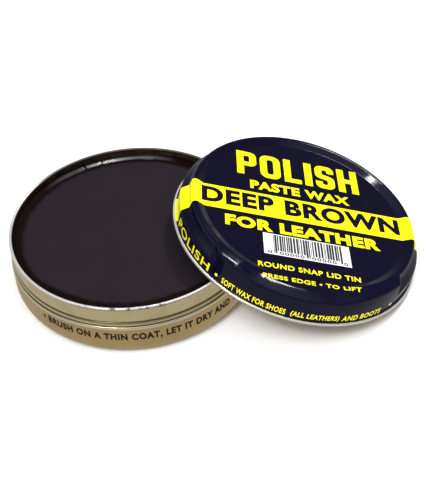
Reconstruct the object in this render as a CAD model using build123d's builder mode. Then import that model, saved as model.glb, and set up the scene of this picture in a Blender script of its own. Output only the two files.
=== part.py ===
"""A tin of shoe polish: the open can of wax with its lid leaning on the rim.

Millimetres, +Z up. The can stands on the XY plane and its axis is Z.
The lid leans towards +X: one edge of its curl is on the table and the curl
rests on the can's rim at two places, one on each side of the X axis.
"""

import os
from math import cos, degrees, radians, sin

from build123d import *

# Tinplate
sheet = 0.3

# Can, seen from outside
can_height = 21.4
rim_radius = 42.9
rim_curl_radius = 0.54
neck_radius = 42.65
groove_height = 14.96
groove_depth = 0.3
groove_half_width = 0.35
bead_bulge = 0.35
shoulder_height = 13.04
band_radius = 43.4
shoulder_round = 0.75
foot_round = 4.9
recess_radius = 31.0
recess_height = 0.7
recess_slope = 0.9

# Wax
wax_level = 17.7
wax_edge_height = 18.5
wax_flat_radius = 39.6

# Lid, measured up its own axis from the plane of its edge
lid_edge_radius = 44.5
lid_curl_radius = 0.65
skirt_radius = 43.35
lid_shoulder_height = 6.6
ring_foot_radius = 40.95
ring_foot_height = 8.5
ring_corner_radius = 40.35
ring_corner_height = 12.15
ring_slope_radius = 38.7
ring_slope_height = 11.85
ring_round = 1.15
panel_radius = 36.2
panel_height = 10.6

# Thumb pad on the lid's -Y side, where the ring runs out flush with the skirt
pad_crest_radius = 38.6
pad_crest_height = 11.5
pad_edge_height = 10.1
pad_edge_round = 0.9
pad_middle = -89.1
pad_arc = 98

# Where the lid leans
lid_lean = 16.81
lid_offset = 57.4
table_gap = 0.02


def draw_wall(inset):
    """Draws the can's skin from its axis to the top of the neck, moved in by inset."""
    foot_shift = 0.34 * inset
    foot_start = recess_radius + recess_slope + foot_shift
    neck = neck_radius - inset
    floor = Polyline(
        (0, recess_height + inset),
        (recess_radius + foot_shift, recess_height + inset),
        (foot_start, inset),
        (band_radius - foot_round, inset),
    )
    foot = JernArc(floor @ 1, tangent=(1, 0), radius=foot_round - inset, arc_size=90)
    band = Line(foot @ 1, (band_radius - inset, shoulder_height - shoulder_round))
    shoulder = JernArc(band @ 1, tangent=(0, 1), radius=shoulder_round - inset, arc_size=90)
    bead_start = Vector(neck, shoulder_height)
    if inset:
        Line(shoulder @ 1, bead_start)
    bead_end = Vector(neck, groove_height - groove_half_width)
    bead_middle = (bead_start + bead_end) / 2
    ThreePointArc(bead_start, bead_middle + Vector(bead_bulge, 0), bead_end)
    groove_end = Vector(neck, groove_height + groove_half_width)
    ThreePointArc(bead_end, Vector(neck - groove_depth, groove_height), groove_end)
    return groove_end


with BuildPart() as base_can:
    with BuildSketch(Plane.XZ):
        with BuildLine():
            groove_top = draw_wall(0)
            rim_centre = Vector(rim_radius - rim_curl_radius, can_height - rim_curl_radius)
            outer_reach = neck_radius - rim_centre.X
            curl_drop = (rim_curl_radius**2 - outer_reach**2) ** 0.5
            curl_start = Vector(neck_radius, rim_centre.Y - curl_drop)
            curl_end = Vector(neck_radius - sheet, rim_centre.Y - rim_curl_radius)
            Line(groove_top, curl_start)
            ThreePointArc(curl_start, rim_centre + Vector(0, rim_curl_radius), curl_end)
            inner_groove_top = draw_wall(sheet)
            Line(curl_end, inner_groove_top)
            Line((0, recess_height), (0, recess_height + sheet))
        make_face()
    revolve(axis=Axis.Z)

with BuildPart() as polish_wax:
    with BuildSketch(Plane.XZ):
        with BuildLine():
            wax_groove_top = draw_wall(sheet)
            wax_edge = Vector(neck_radius - sheet, wax_edge_height)
            Line(wax_groove_top, wax_edge)
            wax_top = Line((0, wax_level), (wax_flat_radius, wax_level))
            TangentArc(wax_top @ 1, wax_edge, tangent=(1, 0))
            Line((0, wax_level), (0, recess_height + sheet))
        make_face()
    revolve(axis=Axis.Z)

tilt = radians(lid_lean)
lid_curl_centre_radius = lid_edge_radius - lid_curl_radius
lid_lift = lid_curl_centre_radius * sin(tilt) + lid_curl_radius * (1 - cos(tilt))
lid_centre = (lid_offset, 0, table_gap + lid_lift)
lid_axis = (sin(tilt), 0, cos(tilt))
lid_turn = Axis(lid_centre, lid_axis)
lid_seat = Plane(lid_centre, x_dir=(cos(tilt), 0, -sin(tilt)), z_dir=lid_axis)

# Thin walls close the step where ring gives way to pad, and run down inside as low ribs
rib_height = 0.1
end_wall = degrees(sheet / ring_corner_radius)
pad_start = pad_middle - pad_arc / 2
pad_end = pad_middle + pad_arc / 2
ring_arc = 360 - pad_arc


def lid_plane(angle):
    """The plane of the lid's section at an angle about its axis, from its +X side."""
    across = lid_seat.x_dir.rotate(lid_turn, angle)
    return Plane(lid_centre, x_dir=across, z_dir=across.cross(lid_seat.z_dir))


def close_section(skin, inset):
    """Moves a skin in by inset and closes it along the lid's mouth and axis."""
    if inset:
        skin = offset(skin, amount=inset, side=Side.RIGHT, closed=False, mode=Mode.REPLACE)
    Polyline(skin @ 1, (0, lid_curl_radius), skin @ 0)


def draw_ring(inset):
    """Draws the half-section under the lid's skin where the ring stands up."""
    skin = FilletPolyline(
        (0, panel_height),
        (panel_radius, panel_height),
        (ring_slope_radius, ring_slope_height),
        (ring_corner_radius, ring_corner_height),
        (ring_foot_radius, ring_foot_height),
        (skirt_radius, lid_shoulder_height),
        (skirt_radius, lid_curl_radius),
        radius=(2.5, 1.6, ring_round, 0.7, 1.4),
    )
    close_section(skin, inset)


def draw_pad(inset):
    """Draws the half-section under the lid's skin at the thumb pad."""
    skin = FilletPolyline(
        (0, panel_height),
        (panel_radius, panel_height),
        (pad_crest_radius, pad_crest_height),
        (skirt_radius, pad_edge_height),
        (skirt_radius, lid_curl_radius),
        radius=(2.5, 2, pad_edge_round),
    )
    close_section(skin, inset)


with BuildPart() as lid:
    with BuildSketch(lid_plane(pad_end)):
        with BuildLine():
            draw_ring(0)
        make_face()
    revolve(axis=lid_turn, revolution_arc=ring_arc)
    with BuildSketch(lid_plane(pad_start)):
        with BuildLine():
            draw_pad(0)
        make_face()
    revolve(axis=lid_turn, revolution_arc=pad_arc)

    # Hollow: under the ring, under the pad, and the part that both share
    with BuildSketch(lid_plane(pad_end + end_wall)):
        with BuildLine():
            draw_ring(sheet)
        make_face()
    revolve(axis=lid_turn, revolution_arc=ring_arc - 2 * end_wall, mode=Mode.SUBTRACT)
    with BuildSketch(lid_plane(pad_start + end_wall)):
        with BuildLine():
            draw_pad(sheet)
        make_face()
    revolve(axis=lid_turn, revolution_arc=pad_arc - 2 * end_wall, mode=Mode.SUBTRACT)
    core_radius = skirt_radius - sheet - rib_height
    core_height = panel_height - sheet
    with BuildSketch(lid_plane(0)):
        with BuildLine():
            Polyline(
                (0, lid_curl_radius),
                (core_radius, lid_curl_radius),
                (core_radius, lid_shoulder_height - 0.8),
                (core_radius - 0.35, lid_shoulder_height),
                (ring_foot_radius - sheet - 0.05, ring_foot_height - 0.2),
                (ring_corner_radius - 0.05, core_height),
                (0, core_height),
                close=True,
            )
        make_face()
    revolve(axis=lid_turn, mode=Mode.SUBTRACT)

    with BuildSketch(lid_plane(0)) as curl_section:
        with Locations((lid_curl_centre_radius, lid_curl_radius)):
            Circle(lid_curl_radius)
        with Locations((skirt_radius - sheet, lid_curl_radius)):
            Rectangle(sheet, 3 * lid_curl_radius, align=(Align.MIN, Align.MIN))
        crease = curl_section.vertices().sort_by_distance((skirt_radius, 2 * lid_curl_radius))[0]
        fillet(crease, radius=0.5)
    revolve(axis=lid_turn)

base_can.part.label = "base_can"
polish_wax.part.label = "polish_wax"
lid.part.label = "lid"

os.makedirs("parts", exist_ok=True)
export_step(base_can.part, "parts/base_can.step")
export_step(polish_wax.part, "parts/polish_wax.step")
export_step(lid.part, "parts/lid.step")
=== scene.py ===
"""The look of the shoe polish tin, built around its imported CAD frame."""

import math

import bmesh
import bpy
import numpy as np
from mathutils import Matrix, Vector


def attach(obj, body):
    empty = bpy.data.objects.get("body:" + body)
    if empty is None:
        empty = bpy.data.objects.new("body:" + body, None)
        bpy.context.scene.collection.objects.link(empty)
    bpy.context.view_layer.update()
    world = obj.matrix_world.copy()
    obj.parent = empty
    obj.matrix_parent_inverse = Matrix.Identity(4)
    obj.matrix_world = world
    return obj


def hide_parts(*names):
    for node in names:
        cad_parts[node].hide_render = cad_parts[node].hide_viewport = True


MM = 0.001

# The lid's own frame: its centre on the plane of its edge, and its lean towards +X
LEAN = math.radians(16.81)
LID_CENTRE = np.array([57.4, 0.0, 12.729])
LID_X = np.array([math.cos(LEAN), 0.0, -math.sin(LEAN)])
LID_Y = np.array([0.0, 1.0, 0.0])
LID_N = np.array([math.sin(LEAN), 0.0, math.cos(LEAN)])
TEXT_TURN = math.radians(0.9)

SHEET = 0.3
SEGMENTS = 320

# The can's lower band, rounded at both ends, and its bottom, raised inside a foot ring
BAND_RADIUS = 43.4
SHOULDER_ROUND = 0.75
SHOULDER_HEIGHT = 13.04
FOOT_ROUND = 4.9
FOOT_RING_RADIUS = 31.9
BOTTOM_RADIUS = 31.0
BOTTOM_HEIGHT = 0.7

# The can's neck and rim. A bulge on the neck has a foot, a top and how far it stands out
NECK_RADIUS = 42.65
NECK_TOP = 20.3
BEAD = 13.06, 14.61, 0.35
GROOVE = 14.63, 15.29, -0.3
RIDGE = 15.33, 15.75, 0.05
RIM_CENTRE = 42.36, 20.86
RIM_ROUND = 0.54

# The cake of wax
WAX_LEVEL = 17.7
WAX_FLAT_RADIUS = 38.6
WAX_GAP = 0.012

# The lid, in its own frame: its recessed panel, its skirt and the curl of its edge
PANEL_RADIUS = 36.2
PANEL_HEIGHT = 10.6
SKIRT_RADIUS = 43.35
SKIRT_FOOT = 1.8
FLARE_ROUND = 0.5
EDGE_RADIUS = SKIRT_RADIUS + FLARE_ROUND
EDGE_ROUND = 0.65
LINING_FOOT = 1.0

# The yellow stripe printed across the lid
STRIPE_HALF = 5.87
STRIPE_MIDDLE = -0.15

# Print colours. Each is two tones, which a cloudy noise mixes
NAVY = (0.0034, 0.0028, 0.0120), (0.0048, 0.0039, 0.0155)
YELLOW = (0.93, 0.86, 0.006), (0.99, 0.93, 0.012)
WHITE = (0.80, 0.80, 0.80), (0.86, 0.86, 0.86)
BLACK = (0.012, 0.012, 0.014), (0.02, 0.02, 0.022)
BROWN_BLACK = (0.012, 0.008, 0.005), (0.020, 0.014, 0.008)

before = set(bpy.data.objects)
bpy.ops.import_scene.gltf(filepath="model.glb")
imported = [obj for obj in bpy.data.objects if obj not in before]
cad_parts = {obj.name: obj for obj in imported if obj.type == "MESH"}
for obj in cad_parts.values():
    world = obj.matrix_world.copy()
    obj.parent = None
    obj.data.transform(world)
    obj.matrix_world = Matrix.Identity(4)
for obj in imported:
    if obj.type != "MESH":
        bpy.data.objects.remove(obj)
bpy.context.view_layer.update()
scene = bpy.context.scene


# ---------------------------------------------------------------- camera
def make_camera():
    """A long lens in front of the tin and above it, turned a little about its own axis."""
    azimuth, elevation, roll = (math.radians(a) for a in (1.99, 42.72, -3.43))
    target = Vector((29.9, -1.72, 7.81)) * MM
    distance = 374.4 * MM
    back = Vector((
        math.sin(azimuth) * math.cos(elevation),
        -math.cos(azimuth) * math.cos(elevation),
        math.sin(elevation),
    ))
    right = (-back).cross(Vector((0, 0, 1))).normalized()
    up = right.cross(-back)
    turned_right = math.cos(roll) * right + math.sin(roll) * up
    turned_up = -math.sin(roll) * right + math.cos(roll) * up
    data = bpy.data.cameras.new("camera")
    data.sensor_width = 36
    data.lens = 75.4
    data.clip_start = 0.01
    camera = bpy.data.objects.new("camera", data)
    scene.collection.objects.link(camera)
    rotation = Matrix((turned_right, turned_up, back)).transposed().to_4x4()
    camera.matrix_world = Matrix.Translation(target + back * distance) @ rotation
    scene.camera = camera


# ---------------------------------------------------------------- shapes
def rounded_path(points, radii, steps):
    """A run of straight lines whose inner corners are rounded, as an array of points."""
    points = [np.array(p, float) for p in points]
    path = [points[0]]
    for before, corner, after, radius in zip(points, points[1:], points[2:], radii):
        a = (before - corner) / np.linalg.norm(before - corner)
        b = (after - corner) / np.linalg.norm(after - corner)
        half = math.acos(np.clip(a @ b, -1, 1)) / 2
        centre = corner + (a + b) / np.linalg.norm(a + b) * radius / math.sin(half)
        start = corner + a * radius / math.tan(half) - centre
        end = corner + b * radius / math.tan(half) - centre
        turn = math.acos(np.clip(start @ end / radius**2, -1, 1))
        for i in range(steps + 1):
            t = i / steps
            w = [math.sin((1 - t) * turn), math.sin(t * turn)]
            path.append(centre + (w[0] * start + w[1] * end) / math.sin(turn))
    path.append(points[-1])
    return np.array(path)


def arc(centre, radius, start, end, steps):
    """Points on a circle, its angles in degrees."""
    angles = np.radians(np.linspace(start, end, steps + 1))
    return np.stack([
        centre[0] + radius * np.cos(angles), centre[1] + radius * np.sin(angles)
    ], 1)


def bulge(radius, foot, top, out, steps):
    """An upright line from foot to top that stands out in an arc."""
    t = np.linspace(0, 1, steps + 1)
    return np.stack([radius + out * np.sin(math.pi * t), foot + (top - foot) * t], 1)


def refine(path, longest):
    """The same path with no step longer than longest."""
    fine = [path[0]]
    for a, b in zip(path, path[1:]):
        n = max(1, int(math.ceil(np.linalg.norm(b - a) / longest)))
        fine += [a + (b - a) * (i / n) for i in range(1, n + 1)]
    return np.array(fine)


def inward(radius, height, thickness):
    """A skin moved to its right-hand side, the way a sheet's other skin runs."""
    along, up = np.gradient(radius, axis=0), np.gradient(height, axis=0)
    length = np.hypot(along, up)
    return np.maximum(radius + thickness * up / length, 0), height - thickness * along / length


def step_between(value, start, end):
    """0 at start and 1 at end, smooth between them."""
    t = np.clip((value - start) / (end - start), 0, 1)
    return t * t * (3 - 2 * t)


def new_piece(name, verts, faces, body, materials, face_materials=None, smooth=True):
    """A mesh piece in the row frame, its points given in millimetres, riding on a body."""
    mesh = bpy.data.meshes.new(name)
    mesh.from_pydata((np.asarray(verts) * MM).tolist(), [], faces)
    for material in materials:
        mesh.materials.append(material)
    if face_materials is not None:
        mesh.polygons.foreach_set("material_index", face_materials)
    mesh.polygons.foreach_set("use_smooth", [smooth] * len(mesh.polygons))
    mesh.update()
    piece = bpy.data.objects.new(name, mesh)
    scene.collection.objects.link(piece)
    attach(piece, body)
    return piece


def lathe(radius, height, angles, place):
    """Turns a skin that starts and ends on the axis into a closed surface.

    radius and height hold a row for each ring and a column for each angle.
    place takes arrays of radius, height and angle and gives points.
    """
    rings, segments = len(radius) - 2, len(angles)
    around = np.tile(angles, rings)
    ring_points = place(radius[1:-1].ravel(), height[1:-1].ravel(), around)
    first = place(np.array([0.0]), height[0, :1], angles[:1])
    last = place(np.array([0.0]), height[-1, :1], angles[:1])
    verts = np.vstack([ring_points, first, last])
    top, bottom = len(ring_points), len(ring_points) + 1
    here = np.arange(segments)
    after = (here + 1) % segments
    final = (rings - 1) * segments
    faces = [(top, j, k) for j, k in zip(here, after)]
    for i in range(rings - 1):
        a, b = i * segments, (i + 1) * segments
        faces += [(a + j, b + j, b + k, a + k) for j, k in zip(here, after)]
    faces += [(final + j, bottom, final + k) for j, k in zip(here, after)]
    return verts, faces, np.repeat(np.arange(rings + 1), segments)


def repeated(path, count):
    """One path at each of count angles, as the radius and height that lathe takes."""
    return (np.tile(column[:, None], count) for column in path.T)


def turn(path, place):
    """Turns one path, the same all the way round."""
    angles = np.linspace(0, 2 * math.pi, SEGMENTS, endpoint=False)
    return lathe(*repeated(path, SEGMENTS), angles, place)


def upright(radius, height, angle):
    """Points about the can's axis."""
    return np.stack([radius * np.cos(angle), radius * np.sin(angle), height], 1)


def on_lid(x, y, height):
    """Points given in the lid's own frame."""
    return (
        LID_CENTRE
        + np.outer(x, LID_X)
        + np.outer(y, LID_Y)
        + np.outer(height, LID_N)
    )


def about_lid(radius, height, angle):
    """Points about the lid's axis."""
    return on_lid(radius * np.cos(angle), radius * np.sin(angle), height)


# ---------------------------------------------------------------- materials
class Shader:
    """A node material under construction."""

    def __init__(self, name, **settings):
        self.material = bpy.data.materials.new(name)
        self.material.use_nodes = True
        self.tree = self.material.node_tree
        self.surface = self.tree.nodes["Principled BSDF"]
        for key, value in settings.items():
            self.surface.inputs[key.replace("_", " ")].default_value = value

    def node(self, kind, values=None, **settings):
        """Adds a node. values maps a socket's name or place to a number or to another output."""
        made = self.tree.nodes.new("ShaderNode" + kind)
        for key, value in settings.items():
            setattr(made, key, value)
        for key, value in (values or {}).items():
            if isinstance(value, bpy.types.NodeSocket):
                self.tree.links.new(value, made.inputs[key])
            else:
                made.inputs[key].default_value = value
        return made

    def math(self, operation, a, b=0.0, clamp=False):
        return self.node("Math", {0: a, 1: b}, operation=operation, use_clamp=clamp).outputs[0]

    def times(self, a, b):
        return self.math("MULTIPLY", a, b)

    def wander(self, value, noise, reach):
        """A value moved to and fro by a noise, by reach from end to end."""
        return self.math("ADD", value, self.times(self.math("SUBTRACT", noise, 0.5), reach))

    def mix(self, factor, a, b):
        """Mixes two colours, each of them three numbers or another output."""
        a, b = ((*colour, 1) if isinstance(colour, tuple) else colour for colour in (a, b))
        return self.node("Mix", {0: factor, 6: a, 7: b}, data_type="RGBA").outputs[2]

    def between(self, value, low, high, to_low=0.0, to_high=1.0, smooth=False):
        made = self.node("MapRange", {0: value, 1: low, 2: high, 3: to_low, 4: to_high})
        made.interpolation_type = "SMOOTHSTEP" if smooth else "LINEAR"
        return made.outputs[0]

    def noise(self, place, scale, detail, rough=0.55, distortion=0.0):
        made = self.node("TexNoise", {
            "Vector": place, "Scale": scale, "Detail": detail,
            "Roughness": rough, "Distortion": distortion,
        })
        return made.outputs[0]

    def stretched(self, place, scale):
        return self.node("Mapping", {"Vector": place, "Scale": scale}).outputs[0]

    def parts(self, place):
        return self.node("SeparateXYZ", {0: place}).outputs

    def radius(self, place):
        xyz = self.parts(place)
        flat = self.node("CombineXYZ", {0: xyz[0], 1: xyz[1], 2: 0.0}).outputs[0]
        return self.node("VectorMath", {0: flat}, operation="LENGTH").outputs["Value"]

    def crack(self, place, angle, start):
        """1 along a wandering radial crack at an angle about the can, from a radius outwards."""
        rotation = (0, 0, math.radians(-angle))
        turned = self.node("Mapping", {"Vector": place, "Rotation": rotation}).outputs[0]
        along, across, _ = self.parts(turned)
        off = self.math("ABSOLUTE", self.wander(across, self.noise(place, 700, 3), 0.0012))
        return self.times(self.between(off, 0.00042, 0.0002), self.between(along, start, start + 0.0006))

    def bump(self, height, distance, strength):
        made = self.node("Bump", {"Height": height, "Distance": distance, "Strength": strength})
        self.tree.links.new(made.outputs[0], self.surface.inputs["Normal"])

    def set(self, socket, value):
        self.tree.links.new(value, self.surface.inputs[socket])

    def can_place(self):
        """The surface point in the row frame, which is the can's own."""
        return self.node("TexCoord").outputs["Object"]

    def lid_place(self):
        """The surface point in the lid's own frame, turned to the lettering."""
        to_lid = Matrix.Rotation(-TEXT_TURN, 3, "Z") @ Matrix([list(LID_X), list(LID_Y), list(LID_N)])
        shift = -(to_lid @ (Vector(LID_CENTRE) * MM))
        made = self.node("Mapping", {
            "Vector": self.node("TexCoord").outputs["Object"],
            "Location": shift,
            "Rotation": to_lid.to_euler(),
        }, vector_type="POINT")
        return made.outputs[0]


def lid_print():
    """Navy and yellow print under a clear gloss varnish."""
    s = Shader("lid_print", IOR=1.45, Specular_IOR_Level=0.22)
    place = s.lid_place()
    blotch = s.noise(place, 220, 4)
    fine = s.noise(place, 2600, 2)
    y = s.wander(s.parts(place)[1], fine, 0.00006)
    off = s.math("ABSOLUTE", s.math("SUBTRACT", y, STRIPE_MIDDLE * MM))
    stripe = s.between(off, (STRIPE_HALF + 0.03) * MM, (STRIPE_HALF - 0.03) * MM)
    s.set("Base Color", s.mix(stripe, s.mix(blotch, *NAVY), s.mix(blotch, *YELLOW)))
    scratch = s.noise(s.stretched(place, (900, 60, 900)), 1.0, 5, 0.7)
    scuff = s.times(s.between(scratch, 0.62, 0.8), 0.12)
    s.set("Roughness", s.math("ADD", s.between(blotch, 0.3, 0.7, 0.07, 0.12), scuff))
    ripple = s.noise(place, 150, 2)
    s.bump(s.math("ADD", ripple, s.times(fine, 0.02)), 0.00008, 0.5)
    return s.material


def bare_tin(name, place_of, painted_shade_below, stained_and_shaded=False):
    """A curled edge: bright tin on top, painted shade below a height in mm; if asked for, wax stains at
    the front and a painted dark reflection at the back.
    """
    s = Shader(name, Metallic=0.65)
    place = place_of(s)
    _, y, height = s.parts(place)
    lines = s.noise(s.stretched(place, (30, 30, 5000)), 1.0, 3, 0.6)
    spots = s.noise(place, 900, 4, 0.65)
    tone = s.mix(lines, (0.78, 0.77, 0.74), (0.92, 0.91, 0.89))
    tone = s.mix(s.between(spots, 0.62, 0.85), tone, (0.60, 0.56, 0.50))
    # Painted shade: below this height the curl's lower side is coloured a dull dark tan
    top = painted_shade_below * MM
    painted_shade = s.between(height, top + 0.00008, top - 0.00012, smooth=True)
    tone = s.mix(painted_shade, tone, (0.34, 0.29, 0.22))
    rough = s.between(spots, 0.3, 0.8, 0.18, 0.30)
    if stained_and_shaded:
        patch = s.noise(place, 420, 4, 0.6)
        # Wax stains in patches at the front; the back is mostly covered in the same dark, a painted dark
        # reflection
        front = s.times(s.between(patch, 0.5, 0.6), s.between(y, -0.038, -0.0415, smooth=True))
        back = s.times(s.between(patch, 0.22, 0.34), s.between(y, 0.012, 0.03, smooth=True))
        stain_and_shade = s.math("MAXIMUM", s.times(front, 0.8), s.times(back, 0.9))
        tone = s.mix(stain_and_shade, tone, (0.035, 0.021, 0.015))
        rough = s.math("ADD", rough, s.times(stain_and_shade, 0.25))
    s.set("Base Color", tone)
    s.set("Roughness", rough)
    s.bump(lines, 0.00001, 0.5)
    return s.material


def gold_lacquer(name, place_of, dull=0.0, painted_light_and_shade=False):
    """Pale gold lacquer on drawn tinplate, warmer low down, with a painted highlight on the shoulder and
    painted shade in the creases if asked for.
    """
    s = Shader(name, Metallic=1.0)
    place = place_of(s)
    height = s.parts(place)[2]
    lines = s.noise(s.stretched(place, (25, 25, 3500)), 1.0, 4, 0.6)
    cloud = s.noise(place, 130, 4)
    upper = s.between(height, 0.0125, 0.0135, smooth=True)
    tone = s.mix(upper, (0.60, 0.40, 0.155), (0.76, 0.65, 0.36))
    tone = s.mix(s.times(lines, 0.4), tone, (0.92, 0.79, 0.44))
    tone = s.mix(s.between(cloud, 0.45, 0.75, 0, 0.35), tone, (0.52, 0.38, 0.18))
    if painted_light_and_shade:
        # A painted highlight along the shoulder, and painted shade in the corner above it and in the
        # groove
        crown = s.between(height, 0.0119, 0.0124, smooth=True)
        painted_highlight = s.times(crown, s.between(height, 0.01303, 0.01296))
        tone = s.mix(painted_highlight, tone, (1.0, 0.93, 0.66))
        for middle, half in ((0.01316, 0.00030), (0.01494, 0.00052)):
            off = s.math("ABSOLUTE", s.math("SUBTRACT", height, middle))
            painted_crease_shade = s.between(off, half, half * 0.5, 0.0, 0.85, smooth=True)
            tone = s.mix(painted_crease_shade, tone, (0.13, 0.085, 0.03))
    s.set("Base Color", tone)
    s.set("Roughness", s.between(cloud, 0.3, 0.7, 0.27 + dull, 0.38 + dull))
    s.bump(lines, 0.00004, 0.5)
    return s.material


def smeared_wall():
    """The inside of the pan above the cake, filmed with wax that thins towards the rim."""
    s = Shader("smeared_wall", IOR=1.45)
    place = s.can_place()
    height = s.parts(place)[2]
    patch = s.noise(place, 260, 5, 0.65, 0.4)
    thin = s.between(s.wander(height, patch, 0.004), 0.0192, 0.0206)
    film = s.mix(s.between(patch, 0.35, 0.65), (0.010, 0.0055, 0.004), (0.045, 0.022, 0.013))
    s.set("Base Color", s.mix(thin, film, (0.10, 0.075, 0.045)))
    s.set("Metallic", s.times(thin, 0.6))
    s.set("Roughness", s.between(patch, 0.3, 0.7, 0.3, 0.5))
    s.bump(patch, 0.0002, 0.4)
    return s.material


def dark_wax():
    """Smooth dark brown wax, with painted shade where it meets the pan, darker and browner there, and two
    cracks in its lip.
    """
    s = Shader("dark_wax", IOR=1.44, Coat_Roughness=0.2, Coat_IOR=2.3)
    place = s.can_place()
    x, y, _ = s.parts(place)
    blotch = s.noise(place, 60, 5, 0.6)
    grain = s.noise(place, 1500, 3, 0.6)
    ragged = s.wander(s.radius(place), s.noise(place, 420, 4), 0.002)
    # Painted shade near the pan: a darker, browner band whose edge wanders and reaches further in at the
    # front
    front_reach = s.times(s.between(y, -0.020, -0.034, smooth=True), 0.0022)
    edge = s.between(s.math("ADD", ragged, front_reach), 0.0374, 0.0396, smooth=True)
    crack = s.math("MAXIMUM", s.crack(place, 118.8, 0.0388), s.crack(place, 109.3, 0.0392))

    middle = s.mix(blotch, (0.0120, 0.0086, 0.0120), (0.0150, 0.0112, 0.0148))
    pits = s.between(s.noise(place, 190, 3), 0.64, 0.74, 0.0, 0.45, smooth=True)
    middle = s.mix(pits, middle, (0.0055, 0.0036, 0.0055))
    colour = s.mix(edge, middle, (0.0056, 0.0027, 0.0023))
    s.set("Base Color", s.mix(crack, colour, (0.002, 0.0015, 0.0015)))
    s.set("Specular IOR Level", s.between(edge, 0.0, 1.0, 0.1, 0.02))
    s.set("Roughness", s.between(blotch, 0.3, 0.7, 0.5, 0.62))

    # A wet glaze on the lip, on a stretch near x = 0 that fades at both ends
    lip = s.between(ragged, 0.0396, 0.0406, smooth=True)
    reach = s.times(s.between(x, -0.034, -0.010, smooth=True), s.between(x, 0.016, 0.002, smooth=True))
    glaze = s.times(s.times(lip, reach), s.between(blotch, 0.3, 0.7, 0.5, 1.0))
    s.set("Coat Weight", s.math("SUBTRACT", glaze, crack, clamp=True))
    relief = s.math("ADD", grain, s.times(blotch, 2.0))
    s.bump(s.math("SUBTRACT", relief, s.times(crack, 6.0)), 0.00005, 0.35)
    return s.material


def ink(name, tones, place_of, rough, sheen=0.5):
    """A coat of print in one colour, slightly uneven."""
    s = Shader(name, IOR=1.45, Specular_IOR_Level=sheen)
    place = place_of(s)
    grain = s.noise(place, 3000, 2)
    s.set("Base Color", s.mix(s.noise(place, 400, 4), *tones))
    s.set("Roughness", s.between(grain, 0.3, 0.7, rough - 0.04, rough + 0.06))
    s.bump(grain, 0.00001, 0.4)
    return s.material


def pale_floor():
    """Plain pale paper with the faintest cloud in it."""
    s = Shader("pale_floor", Roughness=0.7)
    cloud = s.noise(s.can_place(), 3, 3)
    s.set("Base Color", s.mix(cloud, (0.90, 0.90, 0.90), (0.93, 0.93, 0.93)))
    return s.material


# ---------------------------------------------------------------- sheet metal and wax
LONGEST_STEP = 1.5


def can_outline():
    """The pan's outer skin from the middle of its bottom up to the curl of its rim."""
    foot_start = BAND_RADIUS - FOOT_ROUND
    bottom = (0, BOTTOM_HEIGHT), (BOTTOM_RADIUS, BOTTOM_HEIGHT), (FOOT_RING_RADIUS, 0), (foot_start, 0)
    return np.vstack([
        rounded_path(bottom, (0.4, 0.4), 4)[:-1],
        arc((foot_start, FOOT_ROUND), FOOT_ROUND, -90, 0, 16),
        arc((NECK_RADIUS, SHOULDER_HEIGHT - SHOULDER_ROUND), SHOULDER_ROUND, 0, 90, 14),
        bulge(NECK_RADIUS, *BEAD, 12),
        bulge(NECK_RADIUS, *GROOVE, 10),
        bulge(NECK_RADIUS, *RIDGE, 4),
        [[NECK_RADIUS, NECK_TOP]],
    ])


def can_inside(gap=0.0):
    """The pan's inner skin, or a skin a gap inside it, from the groove down to the bottom's middle."""
    inset = SHEET + gap
    side = NECK_RADIUS - inset
    floor = BOTTOM_HEIGHT + inset
    shoulder_centre = (NECK_RADIUS, SHOULDER_HEIGHT - SHOULDER_ROUND)
    foot_centre = (BAND_RADIUS - FOOT_ROUND, FOOT_ROUND)
    return np.vstack([
        bulge(side, *GROOVE, 8)[::-1],
        bulge(side, *BEAD, 10)[::-1],
        arc(shoulder_centre, SHOULDER_ROUND - inset, 90, 0, 8),
        arc(foot_centre, FOOT_ROUND - inset, 0, -90, 14),
        [(FOOT_RING_RADIUS, inset), (BOTTOM_RADIUS, floor), (0, floor)],
    ])


def build_can():
    """The pan: one closed sheet, lacquered outside, bare on its curl and filmed with wax inside."""
    outside = refine(can_outline(), LONGEST_STEP)
    curl = arc(RIM_CENTRE, RIM_ROUND, -57.5, 268, 30)
    inside = np.vstack([[(NECK_RADIUS - SHEET, NECK_TOP - 0.1)], can_inside()])
    path = np.vstack([outside, curl, refine(inside, LONGEST_STEP)])
    verts, faces, ring = turn(path, upright)
    materials = [
        gold_lacquer("gold_lacquer", Shader.can_place, painted_light_and_shade=True),
        bare_tin("bare_rim", Shader.can_place, painted_shade_below=21.05, stained_and_shaded=True),
        smeared_wall(),
    ]
    zone = np.digitize(ring, [len(outside) - 1, len(outside) + len(curl)])
    can = new_piece("can_shell", verts, faces, "tin", materials, zone)
    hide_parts("base_can")


def build_wax():
    """The cake: a poured disc that creeps up the wall at its edge."""
    level = np.stack([np.linspace(0, WAX_FLAT_RADIUS, 60), np.full(60, WAX_LEVEL)], 1)
    wall = NECK_RADIUS - SHEET - WAX_GAP
    lip = (
        (WAX_FLAT_RADIUS, WAX_LEVEL), (39.9, WAX_LEVEL), (41.8, WAX_LEVEL + 0.72), (wall, WAX_LEVEL + 0.8),
    )
    creep = refine(rounded_path(lip, (2.2, 0.7), 8), 0.25)
    path = np.vstack([level, creep[1:], can_inside(WAX_GAP)])
    verts, faces, _ = turn(path, upright)
    wax = new_piece("wax_cake", verts, faces, "tin", [dark_wax()])
    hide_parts("polish_wax")


# The raised ring gives way at the front to a thumb pad, which runs out flush with the skirt.
# Its lower middle ends between two angles on each side
PAD_MIDDLE = math.radians(-90) + TEXT_TURN
PAD_END = math.radians(49)
PAD_END_ROUND = math.radians(3.2)
PAD_DIP_LEFT = math.radians(25), math.radians(39)
PAD_DIP_RIGHT = math.radians(8), math.radians(42)

# How many steps a fillet of the lid's section is cut into, and each of its straight runs
CORNER_STEPS = 9
RUN_STEPS = 7, 4, 4, 4, 3, 5


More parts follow.
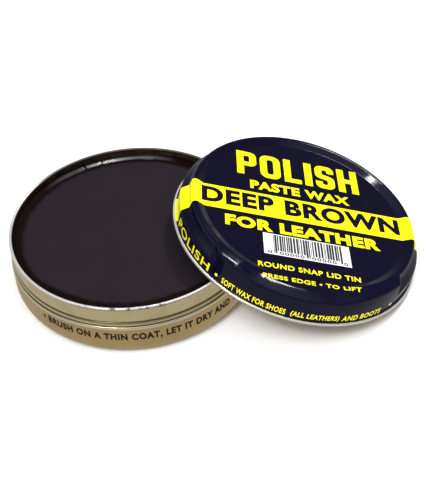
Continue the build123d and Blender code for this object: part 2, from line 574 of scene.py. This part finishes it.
def lid_path(corners, radii):
    """A half section of the lid, its fillets and straight runs cut into fixed numbers of steps."""
    middle, foot = (0, PANEL_HEIGHT), (SKIRT_RADIUS, SKIRT_FOOT)
    panel_edge = (PANEL_RADIUS, PANEL_HEIGHT)
    rounded = rounded_path([middle, panel_edge, *corners, foot], radii, CORNER_STEPS)
    path = [rounded[:1]]
    for i, steps in enumerate(RUN_STEPS):
        run = i * (CORNER_STEPS + 1)
        share = np.linspace(0, 1, steps + 1)[1:, None]
        path.append(rounded[run] + (rounded[run + 1] - rounded[run]) * share)
        path.append(rounded[run + 2:run + CORNER_STEPS + 2])
    path.append(arc((EDGE_RADIUS, SKIRT_FOOT), FLARE_ROUND, 180, 268, 7)[1:])
    return np.vstack(path)


RING = lid_path(
    ((38.7, 11.85), (40.35, 12.15), (40.95, 8.5), (SKIRT_RADIUS, 6.6)), (0.6, 1.6, 1.15, 0.7, 1.4)
)
PAD_HIGH = lid_path(((39.0, 12.1), (43.1, 11.6), (43.3, 8.0), (43.34, 6.0)), (1.3, 1.8, 1.0, 1.0, 1.0))
PAD_LOW = lid_path(((38.2, 11.0), (43.1, 9.6), (43.3, 7.5), (43.34, 6.0)), (1.0, 7.5, 0.9, 1.0, 1.0))


def lid_skin(angles):
    """The lid's outer skin: arrays of radius and height, a row a point and a column an angle."""
    off = (angles - PAD_MIDDLE + math.pi) % (2 * math.pi) - math.pi
    wide = step_between(np.abs(off), PAD_END + PAD_END_ROUND, PAD_END - PAD_END_ROUND)
    left_low = step_between(-off, PAD_DIP_LEFT[1], PAD_DIP_LEFT[0])
    right_low = step_between(off, PAD_DIP_RIGHT[1], PAD_DIP_RIGHT[0])
    low = left_low * right_low
    pad = PAD_HIGH[..., None] * (1 - low) + PAD_LOW[..., None] * low
    skin = RING[..., None] * (1 - wide) + pad * wide
    return skin[:, 0], skin[:, 1]


def lid_angles():
    """Even angles about the lid, with closer ones where the thumb pad ends."""
    even = np.linspace(0, 2 * math.pi, SEGMENTS, endpoint=False)
    fine = np.linspace(-1, 1, 17) * 1.3 * PAD_END_ROUND
    ends = np.concatenate([PAD_MIDDLE - PAD_END + fine, PAD_MIDDLE + PAD_END + fine]) % (2 * math.pi)
    apart = np.min(np.abs(even[:, None] - ends), axis=1)
    return np.sort(np.concatenate([even[apart > math.radians(0.35)], ends]))


def build_lid():
    """The lid: one closed sheet, printed outside, bare on its curl and lacquered inside."""
    angles = lid_angles()
    outer_radius, outer_height = lid_skin(angles)
    inner_radius, inner_height = (side[::-1] for side in inward(outer_radius, outer_height, SHEET))
    above_curl = inner_height[:, 0] > LINING_FOOT
    curl = np.vstack([
        arc((EDGE_RADIUS, EDGE_ROUND), EDGE_ROUND, 88, -165, 26), [(SKIRT_RADIUS - SHEET, 0.75)]
    ])
    curl_radius, curl_height = repeated(curl, len(angles))
    radius = np.vstack([outer_radius, curl_radius, inner_radius[above_curl]])
    height = np.vstack([outer_height, curl_height, inner_height[above_curl]])
    verts, faces, ring = lathe(radius, height, angles, about_lid)
    materials = [
        lid_print(),
        bare_tin("bare_curl", Shader.lid_place, painted_shade_below=0.9),
        gold_lacquer("lid_lining", Shader.lid_place, dull=0.06),
    ]
    zone = np.digitize(ring, [len(outer_radius) - 1, len(outer_radius) + len(curl) - 1])
    lid = new_piece("lid_shell", verts, faces, "lid", materials, zone)
    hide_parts("lid")


# ---------------------------------------------------------------- print
def filled(curve):
    """The flat mesh inside a curve's outlines, as a bmesh."""
    holder = bpy.data.objects.new(curve.name, curve)
    scene.collection.objects.link(holder)
    bpy.context.view_layer.update()
    depsgraph = bpy.context.evaluated_depsgraph_get()
    mesh = bpy.data.meshes.new_from_object(holder.evaluated_get(depsgraph))
    flat = bmesh.new()
    flat.from_mesh(mesh)
    bpy.data.objects.remove(holder)
    bpy.data.curves.remove(curve)
    bpy.data.meshes.remove(mesh)
    bmesh.ops.remove_doubles(flat, verts=flat.verts, dist=1e-5)
    return flat


def typeset(words, weight, spacing):
    """Words in the built-in face, thickened by weight."""
    curve = bpy.data.curves.new("words", "FONT")
    curve.body = words
    curve.offset = weight
    curve.space_character = spacing
    curve.resolution_u = 5
    curve.fill_mode = "FRONT"
    return filled(curve)


def outlines(loops):
    """Closed outlines, each a list of (x, y, corner radius), filled between them."""
    curve = bpy.data.curves.new("outlines", "CURVE")
    curve.dimensions = "2D"
    curve.fill_mode = "FRONT"
    for loop in loops:
        xy = [(x, y) for x, y, _ in loop]
        middle = tuple((np.array(xy[0]) + np.array(xy[-1])) / 2)
        radii = [radius for _, _, radius in loop]
        points = rounded_path([middle, *xy, middle], radii, 6)[:-1]
        spline = curve.splines.new("POLY")
        spline.points.add(len(points) - 1)
        for point, (x, y) in zip(spline.points, points):
            point.co = (x, y, 0, 1)
        spline.use_cyclic_u = True
    return filled(curve)


def fit(flat, left, right, low, high):
    """Scales flat print to fill a rectangle."""
    for axis, start, end in ((0, left, right), (1, low, high)):
        values = [v.co[axis] for v in flat.verts]
        least, most = min(values), max(values)
        for v in flat.verts:
            v.co[axis] = start + (v.co[axis] - least) / (most - least) * (end - start)
    return flat


def cut(flat, axis, spacing):
    """Cuts flat print along evenly spaced lines, so that it can follow a curve."""
    values = [v.co[axis] for v in flat.verts]
    normal = Vector((1, 0, 0)) if axis == 0 else Vector((0, 1, 0))
    for i in range(math.ceil(min(values) / spacing), math.floor(max(values) / spacing) + 1):
        geometry = flat.verts[:] + flat.edges[:] + flat.faces[:]
        bmesh.ops.bisect_plane(
            flat, geom=geometry, dist=1e-6, plane_co=normal * i * spacing, plane_no=normal
        )
    return flat


# A coat of print ends a little above the skin that it lies on and starts a little below
PRINT_TOP = 0.03
PRINT_FOOT = -0.05

# The radius of the ring's crest, and how finely print is cut to follow the lid's top and a round side
RING_CREST = 39.5
PANEL_CUT = 0.5
ROUND_CUT = 0.8


def press(name, flat, place, body, material):
    """Lays flat print on a surface as a thin closed coat. place takes x, y and a height off the skin."""
    flat.verts.ensure_lookup_table()
    flat.verts.index_update()
    x, y = np.array([v.co.xy for v in flat.verts]).T
    count = len(x)
    verts = np.vstack([place(x, y, PRINT_TOP), place(x, y, PRINT_FOOT)])
    faces = []
    for face in flat.faces:
        top = [v.index for v in face.verts]
        if face.normal.z < 0:
            top.reverse()
        faces += [tuple(top), tuple(count + i for i in reversed(top))]
        for loop in face.loops:
            if len(loop.edge.link_faces) == 1:
                a, b = loop.vert.index, loop.link_loop_next.vert.index
                if face.normal.z < 0:
                    a, b = b, a
                faces.append((a, count + a, count + b, b))
    flat.free()
    return new_piece(name, verts, faces, body, [material], smooth=False)


def on_panel(x, y, lift):
    """Print on the lid's top, which rises at its edge into the ring."""
    x, y = (
        math.cos(TEXT_TURN) * x - math.sin(TEXT_TURN) * y,
        math.sin(TEXT_TURN) * x + math.cos(TEXT_TURN) * y,
    )
    distance = np.hypot(x, y)
    radius, height = lid_skin(np.arctan2(y, x))
    top = np.searchsorted(RING[:, 0], RING_CREST)
    level = [np.interp(d, r[:top], h[:top]) for d, r, h in zip(distance, radius.T, height.T)]
    return on_lid(x, y, np.array(level) + lift)


def on_label(x, y, lift):
    """Print on top of the white label's coat."""
    return on_panel(x, y, lift + PRINT_TOP)


def on_skirt(x, y, lift):
    """Print round the lid's side, x along the arc from the lid's +X side."""
    return about_lid(SKIRT_RADIUS + lift, y, x / SKIRT_RADIUS)


def on_band(x, y, lift):
    """Print round the can's side, x along the arc from the can's +X side."""
    return upright(BAND_RADIUS + lift, y, x / BAND_RADIUS)


def box(left, right, low, high, radius):
    """A rectangle's outline, its corners rounded."""
    return [(left, low, radius), (right, low, radius), (right, high, radius), (left, high, radius)]


def sharp(*points):
    """Points of an outline with corners that are all but sharp."""
    return [(x, y, 0.08) for x, y in points]


def block_title():
    """The heavy title, its letters drawn as blocks with rounded corners."""
    top, stem, bar, gap = 12.8, 2.6, 2.25, 1.35
    # Each letter's width w, and its outlines from that width
    letters = (
        (7.3, lambda w: [
            [*sharp((0, 0), (stem, 0), (stem, 4.9)), (w, 4.9, 2.3), (w, top, 2.3), *sharp((0, top))],
            box(stem, w - stem, 4.9 + bar, top - bar, 0.5),
        ]),
        (7.6, lambda w: [box(0, w, 0, top, 2.9), box(stem, w - stem, bar, top - bar, 1.1)]),
        (6.4, lambda w: [sharp((0, 0), (w, 0), (w, bar), (stem, bar), (stem, top), (0, top))]),
        (2.8, lambda w: [sharp((0, 0), (w, 0), (w, top), (0, top))]),
        (7.2, lambda w: [[
            (0, 0, 2.6), (w, 0, 2.6), (w, 6.7, 2.2),
            (stem, 8.0, 0.8), (stem, top - bar, 0.8), (w - stem, top - bar, 0.8),
            *sharp((w - stem, 8.9), (w, 8.9)),
            (w, top, 2.6), (0, top, 2.6), (0, 6.1, 2.2),
            (w - stem, 4.8, 0.8), (w - stem, bar, 0.8), (stem, bar, 0.8),
            *sharp((stem, 3.9), (0, 3.9)),
        ]]),
        (7.6, lambda w: [sharp(
            (0, 0), (stem, 0), (stem, 5.3), (w - stem, 5.3), (w - stem, 0), (w, 0),
            (w, top), (w - stem, top), (w - stem, 7.6), (stem, 7.6), (stem, top), (0, top),
        )]),
    )
    loops, start = [], 0.0
    for width, shapes in letters:
        loops += [[(start + x, y, radius) for x, y, radius in shape] for shape in shapes(width)]
        start += width + gap
    return outlines(loops)


def lid_lettering():
    """Generic words, a label with bars, and more words round the skirt."""
    yellow = ink("yellow_ink", YELLOW, Shader.lid_place, 0.1)
    navy = ink("navy_ink", NAVY, Shader.lid_place, 0.15, 0.22)
    white = ink("white_ink", WHITE, Shader.lid_place, 0.3)
    black = ink("black_ink", BLACK, Shader.lid_place, 0.3)

    press("title_letters", fit(block_title(), -23.4, 22.4, 15.15, 28.0), on_panel, "lid", yellow)
    for name, words, weight, left, right, low, high, colour in (
        ("second_line_letters", "PASTE WAX", 0.045, -18.9, 17.9, 7.8, 12.4, yellow),
        ("band_letters", "DEEP BROWN", 0.045, -36.6, 35.4, -3.5, 4.6, navy),
        ("third_line_letters", "FOR LEATHER", 0.05, -28.6, 26.6, -13.8, -8.3, yellow),
        ("upper_note_letters", "ROUND SNAP LID TIN", 0.025, -18.1, 17.2, -31.2, -28.9, yellow),
        ("lower_note_letters", "PRESS EDGE • TO LIFT", 0.025, -16.8, 16.6, -36.4, -34.4, yellow),
    ):
        flat = fit(typeset(words, weight, 1.1), left, right, low, high)
        press(name, cut(cut(flat, 0, PANEL_CUT), 1, PANEL_CUT), on_panel, "lid", colour)

    label = outlines([box(-15.65, 14.8, -24.7, -14.6, 0.1)])
    press("bar_label", label, on_panel, "lid", white)
    bars(black)

    for name, words, weight, start, end, low, high in (
        ("rim_name_letters", "POLISH", 0.015, -168.5, -138, 1.6, 5.1),
        ("rim_first_letters", "SOFT WAX FOR SHOES", 0.025, -130, -99, 1.8, 4.2),
        ("rim_second_letters", "(ALL LEATHERS)", 0.025, -96.7, -74.5, 1.6, 4.4),
        ("rim_third_letters", "AND BOOTS", 0.025, -73, -52, 1.8, 4.2),
    ):
        left, right = math.radians(start) * SKIRT_RADIUS, math.radians(end) * SKIRT_RADIUS
        flat = fit(typeset(words, weight, 1.1), left, right, low, high)
        press(name, cut(flat, 0, ROUND_CUT), on_skirt, "lid", yellow)
    dots = []
    for angle in (-133.4, -45):
        x = math.radians(angle) * SKIRT_RADIUS
        dots.append(box(x - 0.6, x + 0.6, 2.6, 3.8, 0.55))
    press("rim_dots", cut(outlines(dots), 0, ROUND_CUT), on_skirt, "lid", yellow)


def bars(black):
    """A row of upright bars, random so that it stands for no number, over a row of noughts."""
    draw = np.random.default_rng(11)
    module, left, right, low, high = 0.24, -12.2, 11.4, -22.6, -15.0
    loops, x = [], left
    while x < right:
        width = module * draw.integers(1, 4)
        guard = min(x - left, right - x, abs(x - (left + right) / 2)) < 3 * module
        loops.append(box(x, x + width, low - 1.2 if guard else low, high, 0.02))
        x += width + 0.75 * module * draw.integers(1, 3)
    press("bars", outlines(loops), on_label, "lid", black)
    noughts = fit(typeset("0  00000  00000  0", 0.03, 1.2), -14.4, 13.6, -24.3, -22.8)
    press("bar_noughts", noughts, on_label, "lid", black)


def can_lettering():
    """One line of directions round the can's band, which sinks a little towards the right."""
    black = ink("brown_black_ink", BROWN_BLACK, Shader.can_place, 0.5, 0.15)
    words = "• BRUSH ON A THIN COAT, LET IT DRY AND THEN BUFF TO A SHINE"
    left, front, right = (math.radians(angle) * BAND_RADIUS for angle in (-131.8, -90, 12))
    flat = cut(fit(typeset(words, 0.052, 1.15), left, right, 6.8, 10.4), 0, ROUND_CUT)
    for v in flat.verts:
        v.co.y -= 0.016 * (v.co.x - front)
    press("can_letters", flat, on_band, "tin", black)


# ---------------------------------------------------------------- setting
def build_floor():
    """A plain floor, which the tin's metal doesn't mirror."""
    mesh = bpy.data.meshes.new("floor")
    flat = bmesh.new()
    bmesh.ops.create_grid(flat, x_segments=8, y_segments=8, size=3.0)
    flat.to_mesh(mesh)
    flat.free()
    mesh.materials.append(pale_floor())
    floor = bpy.data.objects.new("floor", mesh)
    floor.visible_glossy = False
    scene.collection.objects.link(floor)


def toward(azimuth, elevation):
    """A direction, its azimuth turned from +Y towards +X, in degrees."""
    a, e = math.radians(azimuth), math.radians(elevation)
    return Vector((math.sin(a) * math.cos(e), math.cos(a) * math.cos(e), math.sin(e)))


def sun(name, direction, strength, width, glossy=True):
    """An even light from far away, width degrees across."""
    data = bpy.data.lights.new(name, "SUN")
    data.energy = strength
    data.angle = math.radians(width)
    lamp = bpy.data.objects.new(name, data)
    lamp.visible_glossy = glossy
    lamp.rotation_euler = direction.to_track_quat("Z", "Y").to_euler()
    scene.collection.objects.link(lamp)


def light_world():
    """A dim room, paler near the floor and overhead."""
    world = bpy.data.worlds.new("studio")
    world.use_nodes = True
    scene.world = world
    tree = world.node_tree
    background = tree.nodes["Background"]
    place = tree.nodes.new("ShaderNodeTexCoord")
    split = tree.nodes.new("ShaderNodeSeparateXYZ")
    ramp = tree.nodes.new("ShaderNodeValToRGB")
    tree.links.new(place.outputs["Generated"], split.inputs[0])
    tree.links.new(split.outputs[2], ramp.inputs[0])
    tree.links.new(ramp.outputs[0], background.inputs[0])
    stops = ramp.color_ramp.elements
    stops[0].position, stops[0].color = 0.0, (0.5, 0.5, 0.5, 1)
    stops[1].position, stops[1].color = 1.0, (0.9, 0.95, 1.0, 1)
    for position, level in ((0.25, 0.2), (0.45, 0.11), (0.75, 0.11), (0.88, 0.8)):
        stop = stops.new(position)
        stop.color = (level, level, level, 1)


def light_tin():
    """Two broad lights that show in no reflection, and narrow ones whose highlights are seen."""
    sun("key", toward(-150, 58), 2.2, 35, glossy=False)
    sun("fill", toward(140, 50), 0.7, 40, glossy=False)
    for azimuth in (28, 36, 44):
        sun("strip_light", toward(azimuth, 54), 0.45, 5)
    for azimuth, elevation, strength, width in ((8, 74, 0.2, 2.5), (46, 60, 0.2, 3)):
        sun("spot_light", toward(azimuth, elevation), strength, width)
    sun("window", toward(-148, 55), 0.5, 9)


make_camera()
build_can()
build_wax()
build_lid()
lid_lettering()
can_lettering()
build_floor()
light_world()
light_tin()
scene.view_settings.view_transform = "Standard"
